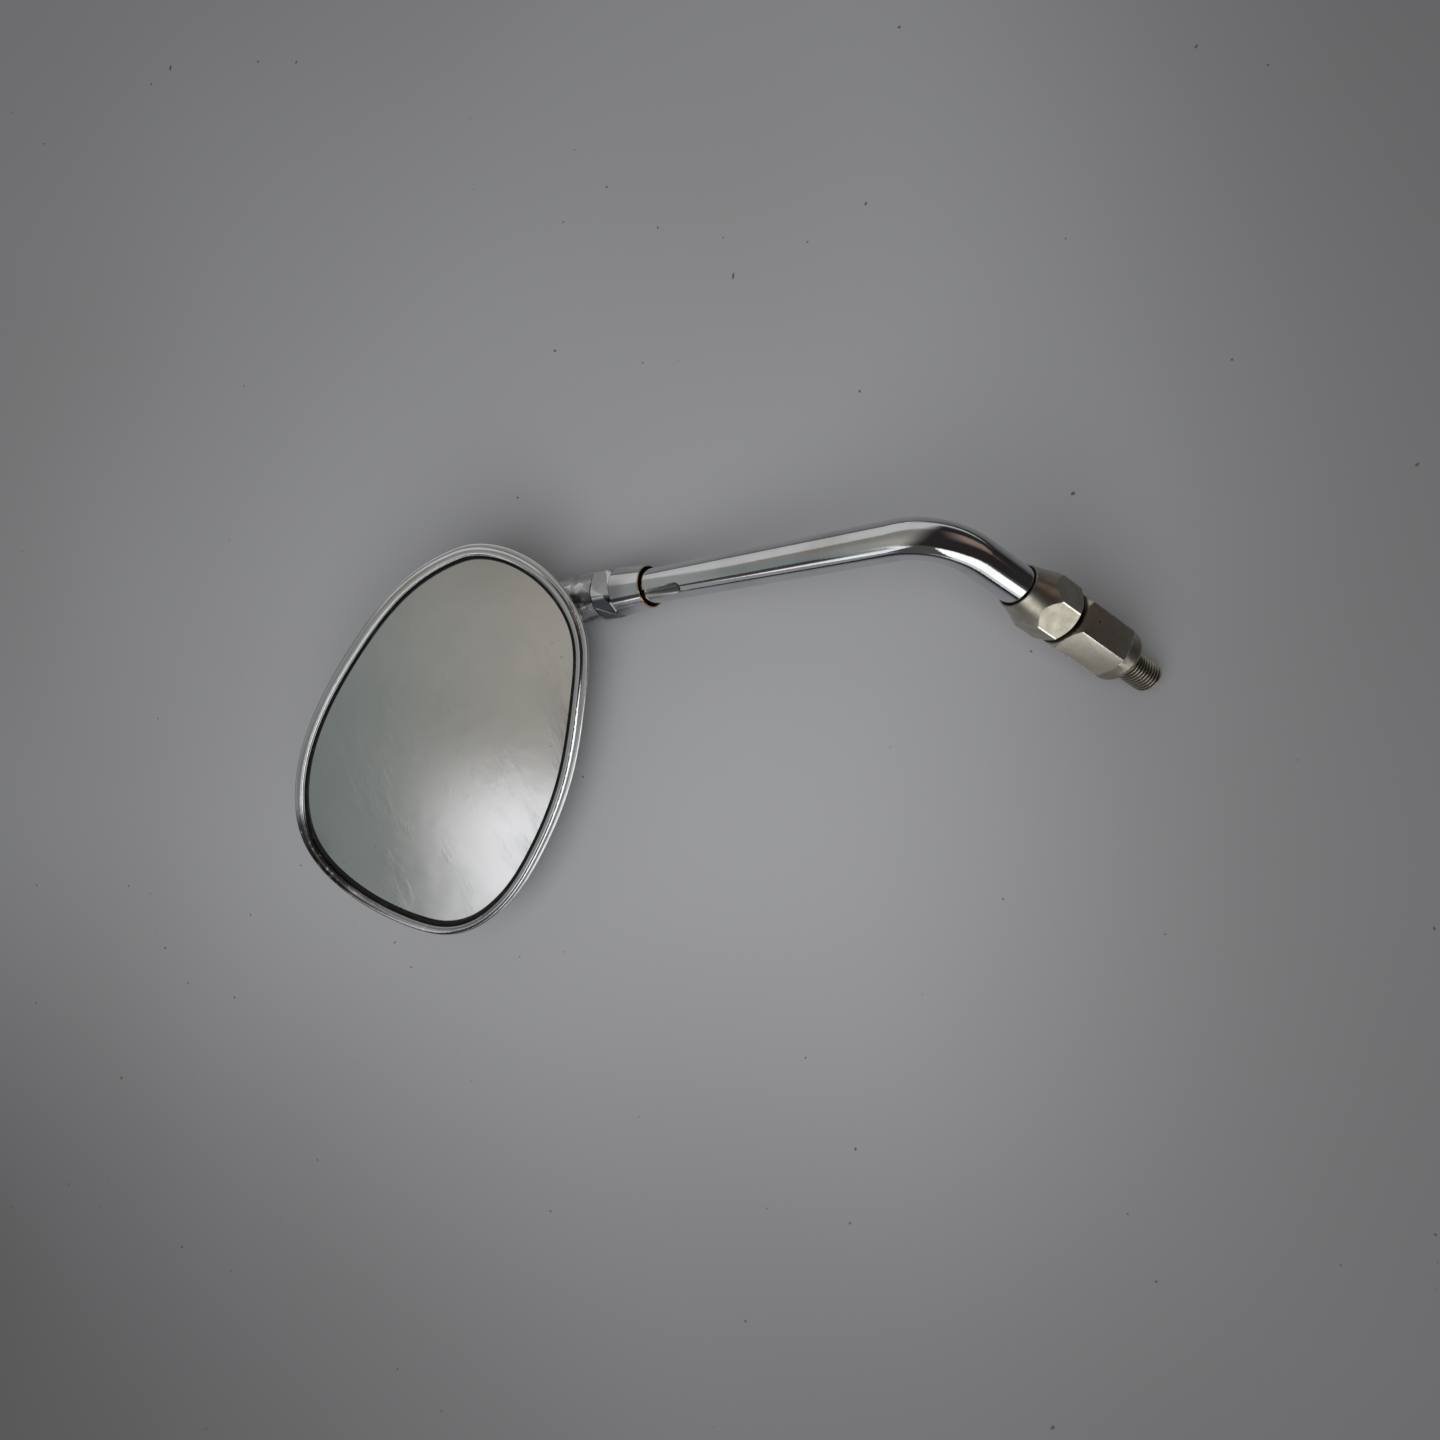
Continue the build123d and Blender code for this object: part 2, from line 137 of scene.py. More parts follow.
class ShaderGraph:
    """Builds the nodes of one material or of the world."""

    def __init__(self, tree: bpy.types.NodeTree) -> None:
        """Empties a tree and keeps it.

        Args:
            tree: The tree to fill.
        """
        self.tree = tree
        tree.nodes.clear()

    def node(self, kind: str, settings: Optional[Dict[str, Any]] = None,
             sockets: Optional[Dict[Union[str, int], Any]] = None) -> bpy.types.Node:
        """Adds a node, sets it up and fills its sockets.

        Args:
            kind: Blender's name of the node type.
            settings: Properties to set first.
            sockets: Values or links by socket name or number.

        Returns:
            The new node.
        """
        made = self.tree.nodes.new(kind)
        for key, value in (settings or {}).items():
            setattr(made, key, value)
        self.fill(made, sockets or {})
        return made

    def fill(self, node: bpy.types.Node, sockets: Dict[Union[str, int], Any]) -> None:
        """Sets or links a node's sockets.

        Args:
            node: The node to fill.
            sockets: Values or links by socket name or number.
        """
        for key, value in sockets.items():
            if isinstance(value, Socket):
                value = value.output
            if isinstance(value, bpy.types.NodeSocket):
                self.tree.links.new(value, node.inputs[key])
            else:
                node.inputs[key].default_value = value

    def math(self, operation: str, first: Any, second: Any = 0.0) -> Socket:
        """One Math node on two values.

        Args:
            operation: Blender's name of the operation.
            first: Left value.
            second: Right value.

        Returns:
            The result.
        """
        made = self.node("ShaderNodeMath", {"operation": operation}, {0: first, 1: second})
        return Socket(self, made.outputs[0])

    def place(self) -> bpy.types.NodeSocket:
        """Object coordinates, in metres in the part's own frame."""
        return self.node("ShaderNodeTexCoord").outputs["Object"]

    def along(self, origin: Vector, direction: Vector, place: bpy.types.NodeSocket) -> Socket:
        """Distance of a place from an origin, measured along a direction.

        Args:
            origin: Where the distance is 0.
            direction: Unit direction that is measured.
            place: The place's vector.

        Returns:
            The distance in metres.
        """
        made = self.node("ShaderNodeVectorMath", {"operation": "DOT_PRODUCT"},
                         {0: place, 1: tuple(direction)})
        return Socket(self, made.outputs["Value"]) - origin.dot(direction)

    def from_axis(self, origin: Vector, direction: Vector, place: bpy.types.NodeSocket) -> Socket:
        """Distance of a place from an axis.

        Args:
            origin: A point on the axis.
            direction: Unit direction of the axis.
            place: The place's vector.

        Returns:
            The distance in metres.
        """
        offset = self.node("ShaderNodeVectorMath", {"operation": "SUBTRACT"}, {0: place, 1: tuple(origin)})
        turned = self.node("ShaderNodeVectorMath", {"operation": "CROSS_PRODUCT"},
                           {0: offset.outputs["Vector"], 1: tuple(direction)})
        length = self.node("ShaderNodeVectorMath", {"operation": "LENGTH"}, {0: turned.outputs["Vector"]})
        return Socket(self, length.outputs["Value"])

    def near(self, spot: Vector, reach: float, place: bpy.types.NodeSocket) -> Socket:
        """Mask that is 1 at a spot and falls to 0 at its reach.

        Args:
            spot: The spot's place.
            reach: Radius in metres.
            place: The place's vector.

        Returns:
            The mask.
        """
        made = self.node("ShaderNodeVectorMath", {"operation": "DISTANCE"}, {0: place, 1: tuple(spot)})
        return Socket(self, made.outputs["Value"]).rises(reach, reach * SPOT_CORE)

    def stretched(self, place: bpy.types.NodeSocket, scale: Point,
                  turn: Point = (0.0, 0.0, 0.0)) -> bpy.types.NodeSocket:
        """Coordinates turned and then scaled for a drawn-out pattern.

        Args:
            place: The place's vector.
            scale: Factor along each axis.
            turn: Euler angles in radians.

        Returns:
            The new vector.
        """
        turned = self.node("ShaderNodeMapping", None, {"Vector": place, "Rotation": turn})
        made = self.node("ShaderNodeVectorMath", {"operation": "MULTIPLY"},
                         {0: turned.outputs["Vector"], 1: scale})
        return made.outputs["Vector"]

    def noise(self, place: bpy.types.NodeSocket, scale: float, detail: float = 2.0,
              roughness: float = 0.5) -> Socket:
        """Soft noise between about 0.3 and 0.7.

        Args:
            place: The place's vector.
            scale: Cells per metre.
            detail: Octaves.
            roughness: Weight of the finer octaves.

        Returns:
            The noise value.
        """
        made = self.node("ShaderNodeTexNoise", None,
                         {"Vector": place, "Scale": scale, "Detail": detail, "Roughness": roughness})
        return Socket(self, made.outputs["Fac"])

    def mix(self, mask: Union[Socket, float], first: Any, second: Any) -> bpy.types.NodeSocket:
        """Blend of two colours.

        Args:
            mask: 0 gives the first colour and 1 the second.
            first: Colour or link.
            second: Colour or link.

        Returns:
            The blended colour.
        """
        made = self.node("ShaderNodeMix", {"data_type": "RGBA"}, {
            0: mask,
            6: (*first, 1.0) if isinstance(first, tuple) else first,
            7: (*second, 1.0) if isinstance(second, tuple) else second,
        })
        return made.outputs[2]

    def bump(self, height: Socket, depth: float) -> bpy.types.NodeSocket:
        """Normal that a height gives.

        Args:
            height: Height from 0 to 1.
            depth: Metres that a height of 1 stands for.

        Returns:
            The bent normal.
        """
        made = self.node("ShaderNodeBump", None, {"Height": height, "Distance": depth, "Strength": 1.0})
        return made.outputs["Normal"]


@dataclass(frozen=True)
class Finish:
    """A finish that makes its own material."""

    name: str

    def material(self) -> bpy.types.Material:
        """Makes the material and paints its shader.

        Returns:
            The new material.
        """
        made = bpy.data.materials.new(self.name)
        made.use_nodes = True
        graph = ShaderGraph(made.node_tree)
        shader = graph.node("ShaderNodeBsdfPrincipled")
        self.paint(graph, shader)
        graph.node("ShaderNodeOutputMaterial", None, {"Surface": shader.outputs["BSDF"]})
        return made

    def paint(self, graph: ShaderGraph, shader: bpy.types.Node) -> None:
        """Fills the shader's sockets.

        Args:
            graph: The material's nodes.
            shader: The shader node.
        """
        raise NotImplementedError

    @staticmethod
    def metal(graph: ShaderGraph, shader: bpy.types.Node, colour: bpy.types.NodeSocket, rough: Socket,
              relief: bpy.types.NodeSocket) -> None:
        """Fills a metal's sockets.

        Args:
            graph: The material's nodes.
            shader: The shader node.
            colour: Colour of the reflection.
            rough: Roughness.
            relief: Normal of the fine relief.
        """
        graph.fill(shader, {"Metallic": 1.0, "Base Color": colour, "Roughness": rough, "Normal": relief})


@dataclass(frozen=True)
class ChromePlate(Finish):
    """Polished plating with a light haze, fine wiping marks and a few pin-pricks."""

    bright: Colour = (0.635, 0.645, 0.66)
    dull: Colour = (0.54, 0.54, 0.54)
    pinprick: Colour = (0.20, 0.18, 0.16)
    gloss: float = 0.045
    haze: float = 0.07

    def paint(self, graph: ShaderGraph, shader: bpy.types.Node) -> None:
        """Fills the shader's sockets.

        Args:
            graph: The material's nodes.
            shader: The shader node.
        """
        place = graph.place()
        colour, rough, height = self.plate(graph, place)
        self.metal(graph, shader, colour, rough, graph.bump(height, PLATE_RELIEF))

    def plate(self, graph: ShaderGraph,
              place: bpy.types.NodeSocket) -> Tuple[bpy.types.NodeSocket, Socket, Socket]:
        """Colour, roughness and height of the plating.

        Args:
            graph: The material's nodes.
            place: Object coordinates.

        Returns:
            The colour, the roughness and the height.
        """
        cloud = graph.noise(place, 55.0, 3.0).rises(0.42, 0.72)
        wiped = graph.noise(graph.stretched(place, (1.0, 0.06, 1.0)), 1500.0, 2.0)
        prick = graph.noise(place, 1400.0, 1.0).rises(0.79, 0.83)
        colour = graph.mix(cloud, self.bright, self.dull)
        colour = graph.mix(prick * 0.5, colour, self.pinprick)
        rough = self.gloss + cloud * self.haze + wiped.rises(0.5, 0.75) * 0.03 + prick * 0.15
        return colour, rough, wiped * 0.4 - prick


@dataclass(frozen=True)
class RimChrome(ChromePlate):
    """Plating on the rim, with a painted dark reflection in streaks around one spot and a weaker one next to
    it.
    """

    dark_reflection_spot: Point = (-0.1862, 0.0950, 0.1757)
    reach: float = 0.021
    weak_reflection_spot: Point = (-0.1940, 0.0845, 0.1350)
    weak_reflection_reach: float = 0.036
    weak_reflection_share: float = 0.55
    painted_dark_reflection: Colour = (0.05, 0.046, 0.044)

    def paint(self, graph: ShaderGraph, shader: bpy.types.Node) -> None:
        """Fills the shader's sockets.

        Args:
            graph: The material's nodes.
            shader: The shader node.
        """
        place = graph.place()
        colour, rough, height = self.plate(graph, place)
        # Painted dark reflection: the rim is darkened in streaks around one spot, and less around a second
        # spot next to it.
        streak = graph.noise(place, 500.0, 3.0, 0.6).rises(0.26, 0.44)
        painted_dark_reflection = graph.near(Vector(self.dark_reflection_spot), self.reach, place)
        dull = graph.near(Vector(self.weak_reflection_spot), self.weak_reflection_reach, place) * self.weak_reflection_share
        painted_reflection_mask = graph.math("MAXIMUM", painted_dark_reflection, dull) * streak
        colour = graph.mix(painted_reflection_mask * 0.92, colour, self.painted_dark_reflection)
        rough = rough + painted_reflection_mask * 0.12
        self.metal(graph, shader, colour, rough, graph.bump(height, PLATE_RELIEF))


@dataclass(frozen=True)
class GroovedChrome(ChromePlate):
    """Plating on the tube, with painted shade inside its pressed groove."""

    groove_start: float = 0.066
    groove_brim: float = 0.00575
    groove_floor: float = 0.0053
    dark_and_painted_shade: Colour = (0.10, 0.095, 0.09)

    def paint(self, graph: ShaderGraph, shader: bpy.types.Node) -> None:
        """Fills the shader's sockets.

        Args:
            graph: The material's nodes.
            shader: The shader node.
        """
        place = graph.place()
        colour, rough, height = self.plate(graph, place)
        out = graph.along(ARM_START, ARM_RUN, place)
        grain = graph.noise(place, 1600.0, 2.0)
        depth = graph.from_axis(ARM_START, ARM_RUN, place) + (grain - 0.5) * 0.0003
        # Painted shade: the inside of the groove is darkened.
        groove_shade = depth.rises(self.groove_brim, self.groove_floor)
        groove_shade = groove_shade * out.rises(self.groove_start, self.groove_start + 0.002)
        colour = graph.mix(groove_shade * 0.85, colour, self.dark_and_painted_shade)
        rough = rough + groove_shade * 0.25
        self.metal(graph, shader, colour, rough, graph.bump(height, PLATE_RELIEF))


@dataclass(frozen=True)
class CastChrome(ChromePlate):
    """Plating on a casting: smooth on the bowl, uneven on the neck, with painted shade along the neck's
    lower side.
    """

    neck_start: float = 0.1089
    neck_reach: float = 0.016
    neck_radius: float = 0.0095
    clear_radius: float = 0.0125
    pitted: Colour = (0.22, 0.21, 0.20)
    painted_neck_shade: Colour = (0.10, 0.095, 0.09)

    def paint(self, graph: ShaderGraph, shader: bpy.types.Node) -> None:
        """Fills the shader's sockets.

        Args:
            graph: The material's nodes.
            shader: The shader node.
        """
        place = graph.place()
        colour, rough, height = self.plate(graph, place)
        out = graph.along(ARM_START + ARM_RUN * self.neck_start, ARM_RUN, place)
        round_neck = graph.from_axis(ARM_START, ARM_RUN, place).rises(self.clear_radius, self.neck_radius)
        neck = out.rises(self.neck_reach, self.neck_reach * 0.6) * round_neck
        cast = graph.noise(place, 260.0, 3.0, 0.5)
        hollows = cast.rises(0.55, 0.42)
        below = graph.along(ARM_START, LOW_SIDE, place)
        # Painted shade along the lower side of the neck, next to the rim.
        under = below.rises(0.0055, 0.0068) * below.rises(0.0102, 0.0088)
        colour = graph.mix(neck * hollows * 0.5, colour, self.pitted)
        colour = graph.mix(neck * under * 0.7, colour, self.painted_neck_shade)
        rough = rough + neck * (0.10 + hollows * 0.12)
        self.metal(graph, shader, colour, rough, graph.bump(height * 0.1 + cast * neck, 0.0002))


@dataclass(frozen=True)
class PlatedBrass(ChromePlate):
    """Chrome on brass, worn off the lower lip and bare inside the skirt, with painted shade on the lower
    side and at the shoulder and a painted dark reflection on the lower hex facet.
    """

    mouth: float = 0.0888
    shoulder: float = 0.1008
    brass: Colour = (0.60, 0.43, 0.27)
    tarnish: Colour = (0.26, 0.17, 0.11)
    shaded: Colour = (0.16, 0.16, 0.165)
    painted_facet_reflection: Colour = (0.10, 0.11, 0.115)
    painted_shoulder_shade: Colour = (0.03, 0.03, 0.03)

    def paint(self, graph: ShaderGraph, shader: bpy.types.Node) -> None:
        """Fills the shader's sockets.

        Args:
            graph: The material's nodes.
            shader: The shader node.
        """
        place = graph.place()
        colour, rough, height = self.plate(graph, place)
        out = graph.along(ARM_START + ARM_RUN * self.mouth, ARM_RUN, place)
        radius = graph.from_axis(ARM_START, ARM_RUN, place)
        grain = graph.noise(place, 900.0, 3.0)
        below = graph.along(ARM_START, LOW_SIDE, place)
        hexagon = self.shoulder - self.mouth
        lip = (out + (grain - 0.5) * 0.0006).rises(0.00038, 0.00015) * below.rises(-0.003, 0.002)
        inside = radius.rises(0.00702, 0.00695)
        # Painted shade: a dark line in the crease at the shoulder between the skirt and the hexagon.
        painted_shoulder_shade = abs(out - hexagon).rises(0.00022, 0.00008) * radius.rises(0.0078, 0.0084)
        corner = radius.rises(0.0094, 0.0097)
        colour = graph.mix(lip, colour, self.brass)
        colour = graph.mix(inside, colour, graph.mix(grain.rises(0.4, 0.65), self.tarnish, self.brass))
        # Painted shade on the lower side of the skirt.
        skirt = out.rises(0.003, 0.011) * out.rises(hexagon + 0.0002, hexagon - 0.0003)
        under = below.rises(0.001, 0.005) * skirt
        colour = graph.mix(under * (1.0 - corner) * 0.55, colour, self.shaded)
        # Painted dark reflection on the lower hex facet.
        facet = below.rises(0.0076, 0.0083) * out.rises(hexagon - 0.0002, hexagon + 0.0004)
        colour = graph.mix(facet * (1.0 - corner) * 0.8, colour, self.painted_facet_reflection)
        colour = graph.mix(painted_shoulder_shade * 0.85, colour, self.painted_shoulder_shade)
        rough = rough + lip * 0.2 + inside * 0.4 + corner * 0.05
        self.metal(graph, shader, colour, rough, graph.bump(height, PLATE_RELIEF))


@dataclass(frozen=True)
class SatinSteel(Finish):
    """Steel with a thin yellowed plating, bright on rubbed corners, darker over the collar and thread, with
    painted shade at the joint and at the thread's root.
    """

    pale: Colour = (0.55, 0.515, 0.44)
    aged: Colour = (0.37, 0.335, 0.275)
    rubbed: Colour = (0.88, 0.86, 0.80)
    dark_and_painted_shade: Colour = (0.045, 0.038, 0.033)
    speckled: Colour = (0.16, 0.13, 0.10)
    rust: Colour = (0.05, 0.035, 0.03)
    pit: Point = (0.00281, -0.00805, 0.02284)
    pit_reach: float = 0.00055
    joint: float = 0.02935
    collar: float = 0.0079

    def paint(self, graph: ShaderGraph, shader: bpy.types.Node) -> None:
        """Fills the shader's sockets.

        Args:
            graph: The material's nodes.
            shader: The shader node.
        """
        place = graph.place()
        radius = graph.from_axis(ORIGIN, STUD_RUN, place)
        stain = graph.noise(place, 170.0, 5.0, 0.65).rises(0.38, 0.66)
        grain = graph.noise(place, 2600.0, 3.0, 0.6)
        turned = graph.noise(graph.stretched(place, (0.02, 0.02, 1.0)), 5200.0, 2.0)
        corner = (radius + (grain - 0.5) * 0.0004).rises(0.00955, 0.00972)
        speck = graph.noise(place, 900.0, 1.0).rises(0.76, 0.80)
        pit = graph.near(Vector(self.pit), self.pit_reach, place)
        level = graph.along(ORIGIN, STUD_RUN, place)
        # Painted shade at the joint between the adapter and the lock nut, and at the thread's root under the
        # collar.
        joint_shade = abs(level - self.joint + (grain - 0.5) * 0.0006).rises(0.0010, 0.0004)
        joint_shade = joint_shade * radius.rises(0.0092, 0.0086)
        root = level.rises(0.0004, -0.0004) * radius.rises(0.00492, 0.0046)
        colour = graph.mix(stain * 0.45 + grain.rises(0.5, 0.7) * 0.4, self.pale, self.aged)
        # Darker over the collar and the thread below it.
        collar = level.rises(self.collar + 0.0002, self.collar - 0.0004)
        colour = graph.mix(collar * 0.4, colour, self.dark_and_painted_shade)
        colour = graph.mix(speck * 0.6, colour, self.speckled)
        colour = graph.mix(corner * 0.9, colour, self.rubbed)
        colour = graph.mix(graph.math("MAXIMUM", joint_shade, root * 0.92), colour, self.dark_and_painted_shade)
        colour = graph.mix(pit, colour, self.rust)
        rough = 0.31 + stain * 0.08 + (grain - 0.5) * 0.16 - corner * 0.10 + pit * 0.3
        self.metal(graph, shader, colour, rough, graph.bump(grain * 0.5 + turned * 0.7 - pit * 2.0, 0.00004))


@dataclass(frozen=True)
class ScrewSteel(Finish):
    """Zinc plated rod, stained and finely grained."""

    colour: Colour = (0.52, 0.51, 0.48)
    stained: Colour = (0.33, 0.30, 0.26)

    def paint(self, graph: ShaderGraph, shader: bpy.types.Node) -> None:
        """Fills the shader's sockets.

        Args:
            graph: The material's nodes.
            shader: The shader node.
        """
        place = graph.place()
        stain = graph.noise(place, 160.0, 3.0).rises(0.4, 0.7)
        grain = graph.noise(place, 3000.0, 2.0)
        colour = graph.mix(stain, self.colour, self.stained)
        rough = 0.32 + stain * 0.15
        self.metal(graph, shader, colour, rough, graph.bump(grain, 0.00003))


@dataclass(frozen=True)
class BlackRubber(Finish):
    """Black rubber with a bloom of dust in its pores."""

    colour: Colour = (0.004, 0.004, 0.004)
    dust: Colour = (0.025, 0.025, 0.024)

    def paint(self, graph: ShaderGraph, shader: bpy.types.Node) -> None:
        """Fills the shader's sockets.

        Args:
            graph: The material's nodes.
            shader: The shader node.
        """
        place = graph.place()
        bloom = graph.noise(place, 240.0, 4.0, 0.65).rises(0.52, 0.78)
        pores = graph.noise(place, 2400.0, 2.0)
        graph.fill(shader, {
            "Base Color": graph.mix(bloom, self.colour, self.dust),
            "Roughness": 0.5 + bloom * 0.25,
            "Specular IOR Level": 0.2,
            "Normal": graph.bump(pores, 0.00005),
        })


@dataclass(frozen=True)
class HazyGlass(Finish):
    """Silvered glass with a film of dust, wiped smears and a few specks."""

    silver: Colour = (0.62, 0.62, 0.61)
    film: Colour = (0.54, 0.55, 0.54)
    dirt: Colour = (0.30, 0.28, 0.26)
    gloss: float = 0.10

    def paint(self, graph: ShaderGraph, shader: bpy.types.Node) -> None:
        """Fills the shader's sockets.

        Args:
            graph: The material's nodes.
            shader: The shader node.
        """
        place = graph.place()
        cloud = graph.noise(place, 26.0, 3.0, 0.55).rises(0.35, 0.68)
        wiped = graph.stretched(place, (0.35, 1.0, 1.0), (0.0, 0.9, 0.0))
        smear = graph.noise(wiped, 90.0, 4.0, 0.6).rises(0.5, 0.72)
        speck = graph.noise(place, 330.0, 0.0).rises(0.84, 0.87)
        colour = graph.mix(cloud * 0.6 + smear * 0.3, self.silver, self.film)
        colour = graph.mix(speck * 0.6, colour, self.dirt)
        rough = self.gloss + cloud * 0.08 + smear * 0.10 + speck * 0.2
        self.metal(graph, shader, colour, rough, graph.bump(cloud + smear * 0.4, 0.00012))


@dataclass(frozen=True)
class PadFoam(Finish):
    """Dark closed-cell foam."""

    colour: Colour = (0.03, 0.03, 0.032)
    cell: Colour = (0.09, 0.09, 0.09)

    def paint(self, graph: ShaderGraph, shader: bpy.types.Node) -> None:
        """Fills the shader's sockets.

        Args:
            graph: The material's nodes.
            shader: The shader node.
        """
        cells = graph.noise(graph.place(), 1800.0, 3.0)
        graph.fill(shader, {
            "Base Color": graph.mix(cells.rises(0.35, 0.65), self.colour, self.cell),
            "Roughness": 0.85 + cells * 0.1,
            "Normal": graph.bump(cells, 0.0002),
        })


def pick_none() -> None:
    """Deselects every object."""
    bpy.ops.object.select_all(action="DESELECT")


def work_on(piece: bpy.types.Object) -> None:
    """Makes a piece the only selected and active object.

    Args:
        piece: The piece to work on.
    """
    pick_none()
    piece.select_set(True)
    bpy.context.view_layer.objects.active = piece


def dress(nodes: Dict[str, Finish]) -> None:
    """Gives CAD nodes their finishes.

    Args:
        nodes: Finish by node name.
    """
    for name, finish in nodes.items():
        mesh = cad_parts[name].data
        mesh.materials.clear()
        mesh.materials.append(finish.material())
        LOG.info("dressed %s in %s", name, finish.name)


@dataclass
class MirrorHead:
    """Glass, gasket, rim and shell."""

    finishes: Dict[str, Finish] = field(default_factory=lambda: {
        "glass": HazyGlass("hazy_glass"),
        "glass_gasket": BlackRubber("gasket_rubber"),
        "rim_bezel": RimChrome("rim_chrome", gloss=0.02, haze=0.03),
        "mirror_shell": CastChrome("shell_chrome"),
        "backing_pad": PadFoam("pad_foam"),
    })

    def build(self) -> None:
        """Dresses the head's nodes."""
        dress(self.finishes)


@dataclass
class Stem:
    """Bent tube, its screw ends and the two lock nuts."""

    finishes: Dict[str, Finish] = field(default_factory=lambda: {
        "stem_tube": GroovedChrome("tube_chrome", gloss=0.03, haze=0.035),
        "lower_screw_end": ScrewSteel("lower_screw_steel"),
        "upper_screw_end": ScrewSteel("upper_screw_steel"),
        "head_lock_nut": PlatedBrass("plated_brass"),
        "stem_lock_nut": SatinSteel("lock_nut_steel", pale=(0.47, 0.44, 0.375), aged=(0.30, 0.27, 0.22)),
        "dust_ring": BlackRubber("dust_ring_rubber"),
    })

    def build(self) -> None:
        """Dresses the stem's nodes."""
        dress(self.finishes)


@dataclass
class Adapter:
    """Hexagon adapter whose plain stud gets a cut thread."""

    radius: float = 0.005
    root: float = 0.00435
    pitch: float = 0.00125
    length: float = 0.0124
    chamfer: float = 0.0009
    crest: float = 0.22
    valley: float = 0.18
    rounding: float = 0.00018
    rounding_limit: float = math.radians(40)
    cut: float = 0.0002
    weld: float = 0.000001
    coil_weld: float = 0.000002
    coil_steps: int = 64
    cutter_sides: int = 96
    cutter_margin: float = 1.2
    finish: Finish = SatinSteel("adapter_steel", pale=(0.61, 0.57, 0.485))

    def build(self) -> None:
        """Makes the adapter's body and thread, which stand for the CAD node."""
        steel = self.finish.material()
        for piece in (self.body(), self.thread()):
            piece.data.materials.clear()
            piece.data.materials.append(steel)
            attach(piece, Body.ADAPTER.value)
            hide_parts("adapter")
            LOG.info("made %s", piece.name)

    def body(self) -> bpy.types.Object:
        """Hexagon and collar, cut off where the thread starts.

        Returns:
            The finished piece.
        """
        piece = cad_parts["adapter"].copy()
        piece.data = piece.data.copy()
        piece.name = "adapter_body"
        piece.parent = None
        piece.matrix_world = Matrix.Identity(4)
        bpy.context.scene.collection.objects.link(piece)
        work_on(piece)
        bpy.ops.object.mode_set(mode="EDIT")
        bpy.ops.mesh.select_all(action="SELECT")
        bpy.ops.mesh.remove_doubles(threshold=self.weld)
        bpy.ops.mesh.select_all(action="SELECT")
        bpy.ops.mesh.bisect(plane_co=(0, 0, self.cut), plane_no=(0, 0, 1), clear_inner=True, use_fill=True)
        bpy.ops.object.mode_set(mode="OBJECT")
        bpy.ops.mesh.customdata_custom_splitnormals_clear()
        rounding = piece.modifiers.new("rounding", "BEVEL")
        rounding.limit_method = "ANGLE"
        rounding.angle_limit = self.rounding_limit
        rounding.width = self.rounding
        rounding.segments = 2
        bpy.ops.object.modifier_apply(modifier=rounding.name)
        bpy.ops.object.shade_smooth_by_angle(angle=SMOOTH_LIMIT)
        return piece

    def thread(self) -> bpy.types.Object:
        """Helical thread with a chamfered end, closed at both ends.

        Returns:
            The finished piece.
        """
        pick_none()
        bpy.ops.mesh.primitive_plane_add(size=self.pitch, location=(0, 0, 0))
        piece = bpy.context.active_object
        piece.name = "stud_thread"
        half = self.pitch / 2
        outline = (
            (self.root, -half),
            (self.root, self.pitch * self.valley / 2 - half),
            (self.radius, -self.pitch * self.crest / 2),
            (self.radius, self.pitch * self.crest / 2),
            (self.root, half - self.pitch * self.valley / 2),
            (self.root, half),
        )
        bpy.ops.object.mode_set(mode="EDIT")
        bpy.ops.mesh.select_all(action="SELECT")
        bpy.ops.mesh.delete(type="ONLY_FACE")
        bpy.ops.mesh.select_all(action="SELECT")
        bpy.ops.mesh.merge(type="CENTER")
        bpy.ops.mesh.select_all(action="SELECT")
        bpy.ops.transform.translate(value=(outline[0][0], 0, outline[0][1] - self.length - self.pitch))
        for (r0, z0), (r1, z1) in zip(outline, outline[1:]):
            bpy.ops.mesh.extrude_region_move(TRANSFORM_OT_translate={"value": (r1 - r0, 0, z1 - z0)})
        bpy.ops.object.mode_set(mode="OBJECT")
        coil = piece.modifiers.new("coil", "SCREW")
        coil.axis = "Z"
        coil.angle = math.tau
        coil.screw_offset = self.pitch
        coil.iterations = int(self.length / self.pitch) + 3
        coil.steps = coil.render_steps = self.coil_steps
        coil.use_merge_vertices = True
        coil.merge_threshold = self.coil_weld
        bpy.ops.object.modifier_apply(modifier=coil.name)
        self.close_ends(piece)
        self.chamfer_end(piece)
        work_on(piece)
        bpy.ops.object.shade_smooth_by_angle(angle=SMOOTH_LIMIT)
        return piece

    def close_ends(self, piece: bpy.types.Object) -> None:
        """Cuts the coil square at the stud's end and under the collar.

        Args:
            piece: The coil.
        """
        work_on(piece)
        bpy.ops.object.mode_set(mode="EDIT")
        bpy.ops.mesh.select_all(action="SELECT")
        bpy.ops.mesh.remove_doubles(threshold=self.coil_weld)
        bpy.ops.mesh.select_all(action="SELECT")
        bpy.ops.mesh.bisect(plane_co=(0, 0, -self.length), plane_no=(0, 0, 1),
                            clear_inner=True, use_fill=True)
        bpy.ops.mesh.select_all(action="SELECT")
        bpy.ops.mesh.bisect(plane_co=(0, 0, self.cut), plane_no=(0, 0, 1), clear_outer=True, use_fill=True)
        bpy.ops.mesh.select_all(action="SELECT")
        bpy.ops.mesh.normals_make_consistent(inside=False)
        bpy.ops.object.mode_set(mode="OBJECT")

